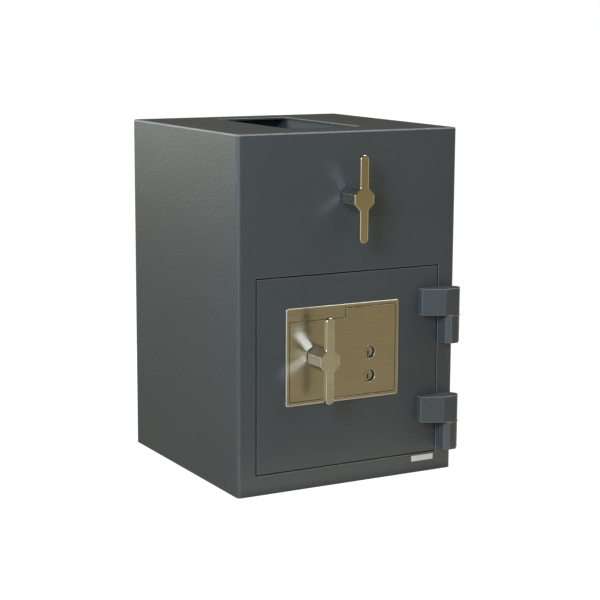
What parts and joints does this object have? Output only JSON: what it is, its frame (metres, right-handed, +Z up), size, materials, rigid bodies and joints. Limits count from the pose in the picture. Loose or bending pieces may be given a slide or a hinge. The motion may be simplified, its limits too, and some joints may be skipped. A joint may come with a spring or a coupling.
{
  "type": "rotary hopper safe",
  "caption": "Deposit safe: a bent steel box with a rotary drum hopper under the mouth in its top, and a flush, keyed and handle-bolted door below on outside hinges.",
  "frame": {"origin": "centre of the underside of the bottom plate", "axes": "+Z up along the safe's height, -Y out of the front, +X to the hinge side"},
  "size_m": [0.3558, 0.3952, 0.508],
  "materials": {
    "body_paint": "fine-textured dark blue-grey powder coat, satin",
    "inner_paint": "dark grey primer, matt",
    "nickel": "satin nickel, warm",
    "bright_steel": "polished",
    "zinc_steel": "zinc plated",
    "bronze": "turned bronze",
    "black_nylon": "moulded, matt",
    "bare_aluminium": "matt, bare"
  },
  "bodies": {
    "cabinet": {"body_wrap": "body_paint", "top_plate": "body_paint", "bottom_plate": "body_paint", "back_plate": "body_paint", "door_frame": "body_paint", "label_plate": "bare_aluminium", "hopper_front_hanger": "inner_paint", "hopper_rear_hanger": "inner_paint", "hopper_guard_left": "inner_paint", "hopper_guard_right": "inner_paint", "hopper_stop_rest": "zinc_steel", "hopper_stop_dump": "zinc_steel", "hopper_front_bush": "bronze", "hopper_rear_bush": "bronze", "hopper_handle_washer": "black_nylon", "hinge_knuckle_upper": "body_paint", "hinge_knuckle_lower": "body_paint", "hinge_pin_upper": "bright_steel", "hinge_pin_lower": "bright_steel", "hinge_washer_upper": "bright_steel", "hinge_washer_lower": "bright_steel"},
    "hopper": {"drum_front_disc": "inner_paint", "drum_rear_disc": "inner_paint", "drum_skin": "body_paint", "drum_pan": "body_paint", "hopper_spindle": "zinc_steel", "hopper_rear_stub": "zinc_steel", "drum_stop_lug": "zinc_steel", "hopper_handle": "nickel"},
    "door": {"door_plate": "body_paint", "face_plate": "nickel", "hard_plate": "zinc_steel", "lock_case": "zinc_steel", "dead_bar": "zinc_steel", "boltwork_cover": "inner_paint", "bolt_guide_upper": "zinc_steel", "bolt_guide_lower": "zinc_steel", "carriage_stud_upper": "zinc_steel", "carriage_stud_lower": "zinc_steel", "hinge_leaf_upper": "body_paint", "hinge_leaf_lower": "body_paint", "door_handle_washer": "black_nylon", "door_spindle_bush": "bronze"},
    "handle_drive": {"door_handle": "nickel", "door_spindle": "zinc_steel", "spindle_crank": "zinc_steel"},
    "boltwork": {"bolt_carriage": "zinc_steel", "locking_bolt_upper": "bright_steel", "locking_bolt_lower": "bright_steel", "bolt_screw_upper": "zinc_steel", "bolt_screw_lower": "zinc_steel"},
    "upper_plug": {"key_plug_upper": "nickel"},
    "lower_plug": {"key_plug_lower": "nickel"},
    "lock_slide": {"lock_bolt": "bronze"}
  },
  "joints": [
    {"name": "door_swing", "type": "hinge", "parent": "cabinet", "child": "door", "pos_m": [0.1645, -0.1918, 0.16875], "axis": [0, 0, 1], "range_deg": [0, 180]},
    {"name": "hopper_turn", "type": "hinge", "parent": "cabinet", "child": "hopper", "pos_m": [0, -0.178, 0.4155], "axis": [0, 1, 0], "range_deg": [0, 180]},
    {"name": "door_handle_turn", "type": "hinge", "parent": "door", "child": "handle_drive", "pos_m": [-0.0535, -0.18, 0.1915], "axis": [0, -1, 0], "range_deg": [0, 90]},
    {"name": "bolt_slide", "type": "slide", "parent": "door", "child": "boltwork", "axis": [-1, 0, 0], "range_m": [0, 0.0254]},
    {"name": "upper_key_turn", "type": "hinge", "parent": "door", "child": "upper_plug", "pos_m": [0.033, -0.17, 0.19], "axis": [0, 1, 0], "range_deg": [0, 90]},
    {"name": "lower_key_turn", "type": "hinge", "parent": "door", "child": "lower_plug", "pos_m": [0.033, -0.17, 0.1555], "axis": [0, 1, 0], "range_deg": [0, 90]},
    {"name": "lock_bolt_slide", "type": "slide", "parent": "door", "child": "lock_slide", "axis": [0, 0, 1], "range_m": [0, 0.011]}
  ],
  "couplings": [
    {"joint": "bolt_slide", "follows": "door_handle_turn", "m_per_rad": 0.01617},
    {"joint": "lock_bolt_slide", "follows": "upper_key_turn", "m_per_rad": 0.007}
  ]
}
